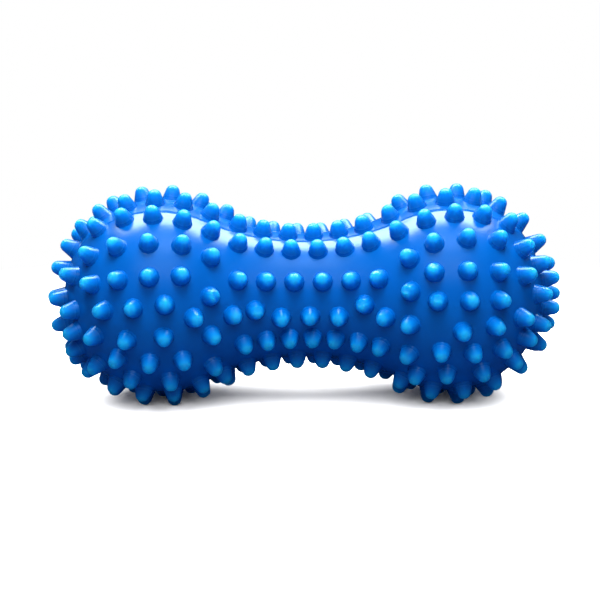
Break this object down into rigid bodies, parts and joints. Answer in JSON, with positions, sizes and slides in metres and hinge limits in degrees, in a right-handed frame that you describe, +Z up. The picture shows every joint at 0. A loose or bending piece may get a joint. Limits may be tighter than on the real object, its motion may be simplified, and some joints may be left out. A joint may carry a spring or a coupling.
{
  "type": "peanut massage ball",
  "caption": "Soft peanut-shaped massage roller: two round lobes joined by a waist, covered all over in blunt rounded nubs.",
  "frame": {"origin": "on the table the ball rests on, straight under the middle of the waist", "axes": "+X along the ball, towards the lobe on the right of the picture; -Y towards the picture's viewer; +Z up"},
  "size_m": [0.1604, 0.069, 0.0687],
  "materials": {
    "soft_vinyl": "satin blue soft PVC"
  },
  "bodies": {
    "root": {"peanut_ball": "soft_vinyl"}
  },
  "joints": []
}
